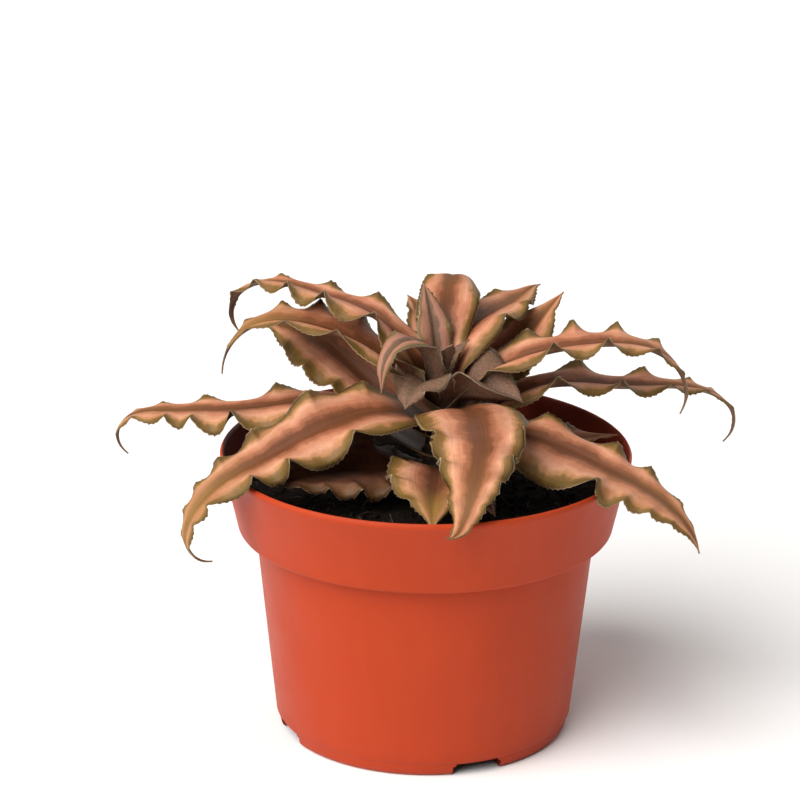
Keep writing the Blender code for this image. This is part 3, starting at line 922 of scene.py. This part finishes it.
YOUNG = {
    "21": Leaf(236, 36, 25, 24, (54, 15, -25, -50, -60), neck=0.9, depth=40, raised=4, calm=0.1),
    "22": Leaf(218, 38, 49, 17, (68, 36, -42, -85, -85), neck=0.9, shoulder=0.3, depth=24, raised=8),
    "23": Leaf(
        340, 33.5, 29, 38, (20, 4, 8, 4, -20), fold=46, neck=1.0, shoulder=0.4, depth=24,
        skew=0.10, calm=0.1, clasp=0.2, left=(1.3, 2.3), right=(-0.2, 1.2),
    ),
    "24": Leaf(112, 41, 38, 14, (85, 75, 60, 50, 45), depth=22),
    "25": Leaf(20, 43, 17, 7, (85, 70, 55, 40, 30), depth=14),
    "26": Leaf(190, 45, 19, 6, (85, 70, 50, 30, 20), depth=12, raised=1),
    "27": Leaf(290, 46, 18, 7, (80, 60, 50, 40, 40), depth=12),
}


def young_upper(name, shown):
    """Grey-brown scurf over the stripes. shown is how much of the stripes has come through."""
    paint = Paint(name)
    across, _, place = blade_coordinates(paint)
    wobble = paint.span(mottle(paint, place, (1.5, 2.0, 1)), 0.3, 0.7, -0.10, 0.10)
    out = paint.math("ADD", paint.math("ABSOLUTE", across), wobble)
    stripes = paint.ramp(
        out,
        [
            (0.00, (0.120, 0.070, 0.035)),
            (0.22, (0.150, 0.082, 0.048)),
            (0.45, (0.480, 0.210, 0.150)),
            (0.70, (0.440, 0.190, 0.110)),
            (0.84, (0.170, 0.120, 0.030)),
            (1.00, (0.120, 0.085, 0.025)),
        ],
    )
    felt = paint.noise(1400, detail=6, rough=0.7)
    bands = mottle(paint, place, (3.0, 9, 1))
    grey = paint.mix(paint.span(felt, 0.38, 0.68), (0.100, 0.052, 0.030), (0.240, 0.148, 0.092))
    grey = paint.mix(paint.span(bands, 0.4, 0.7, 0.0, 0.5), grey, (0.160, 0.080, 0.048))
    cover = paint.span(felt, 0.30, 0.70, 1.0 - shown, 1.0 - 0.55 * shown)
    colour = paint.mix(cover, stripes, grey)
    edge = edge_band(paint, across, 0.93, 0.99, 0.8)
    colour = paint.mix(edge, colour, (0.40, 0.30, 0.22))
    relief = paint.bump(felt, 0.5, 0.0003, under=paint.bump(bands, 0.4, 0.0006))
    roughness = paint.span(felt, 0.3, 0.7, 0.6, 0.8)
    return paint.finish(colour, roughness, relief, Specular_IOR_Level=0.3)


felted = young_upper("young_leaf_felted", 0.12)
opened = young_upper("young_leaf_opened", 0.85)
for number, young in YOUNG.items():
    face = opened if number in ("22", "24") else felted
    blade = put("young_leaf_" + number, leaf_mesh("young_leaf_" + number, young), face, felted)
    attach(blade, "root")
    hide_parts("leaf_" + number)


# -------------------------------------------------------------------------------------------------------
# The room: a pale plain floor, soft daylight from the upper left with a weak fill from behind, a sky a
# little brighter on the left, and a long lens looking down a little.

FLOOR_REACH = 9
FLOOR_DROP = 0.0002
DAYLIGHT = (1.0, 0.985, 0.96)


def floor_surface():
    """Matt white board with the faintest mottle."""
    paint = Paint("white_board")
    tone = paint.ramp(paint.noise(3, detail=5), [(0.3, (0.90, 0.90, 0.90)), (0.7, (0.93, 0.93, 0.93))])
    roughness = paint.span(paint.noise(40), 0.3, 0.7, 0.85, 0.95)
    return paint.finish(tone, roughness, Specular_IOR_Level=0.1)


floor_mesh = bpy.data.meshes.new("floor")
corners = [(x * FLOOR_REACH, y * FLOOR_REACH, 0) for x, y in ((-1, -1), (1, -1), (1, 1), (-1, 1))]
floor_mesh.from_pydata(corners, [], [(0, 1, 2, 3)])
floor = put("floor", floor_mesh, floor_surface())
floor.location.z = -FLOOR_DROP

world = bpy.data.worlds.new("daylight")
world.use_nodes = True
nodes, links = world.node_tree.nodes, world.node_tree.links
sky = nodes["Background"]
sky.inputs["Color"].default_value = (1.0, 0.99, 0.97, 1)
outward = nodes.new("ShaderNodeTexCoord")
axes = nodes.new("ShaderNodeSeparateXYZ")
falloff = nodes.new("ShaderNodeMapRange")
for label, value in (("From Min", -1.0), ("From Max", 0.8), ("To Min", 0.18), ("To Max", 0.06)):
    falloff.inputs[label].default_value = value
links.new(outward.outputs["Generated"], axes.inputs[0])
links.new(axes.outputs["X"], falloff.inputs["Value"])
links.new(falloff.outputs["Result"], sky.inputs["Strength"])
bpy.context.scene.world = world


def add_light(name, kind, energy, toward, **settings):
    """A light that shines toward a direction given as (x, y, z)."""
    light = bpy.data.lights.new(name, kind)
    light.energy = energy
    for key, value in settings.items():
        setattr(light, key, value)
    made = bpy.data.objects.new(name, light)
    made.rotation_mode = "QUATERNION"
    made.rotation_quaternion = Vector(toward).to_track_quat("-Z", "Y")
    bpy.context.scene.collection.objects.link(made)
    return made


add_light("key", "SUN", 4.2, (0.62, 0.64, -0.86), angle=radians(58), color=DAYLIGHT)
add_light("overhead", "SUN", 0.35, (0.10, 0.05, -1.0), angle=radians(80), color=DAYLIGHT)
add_light("from_behind", "SUN", 0.8, (-0.5, -0.7, -0.5), angle=radians(60), color=DAYLIGHT)
softbox = add_light(
    "softbox", "AREA", 2.5, (0.80, 0.72, -0.55), shape="RECTANGLE", size=0.7, size_y=1.0
)
softbox.location = (-0.95, -0.85, 0.75)

ELEVATION = radians(20.47)
ROLL = radians(0.664)
DISTANCE = 1.5
AIM = Vector((0, 0, 0.1081))
camera = bpy.data.objects.new("camera", bpy.data.cameras.new("camera"))
camera.data.lens = 182.0
camera.data.sensor_width = 36.0
camera.data.shift_x = -0.0326
camera.data.shift_y = 0.0616
camera.data.clip_end = 50.0
back = Vector((0, -cos(ELEVATION), sin(ELEVATION)))
camera.location = AIM + DISTANCE * back
look = Matrix.Rotation(pi / 2 - ELEVATION, 4, "X") @ Matrix.Rotation(ROLL, 4, "Z")
camera.rotation_euler = look.to_euler()
bpy.context.scene.collection.objects.link(camera)
bpy.context.scene.camera = camera
bpy.context.scene.view_settings.view_transform = "Standard"
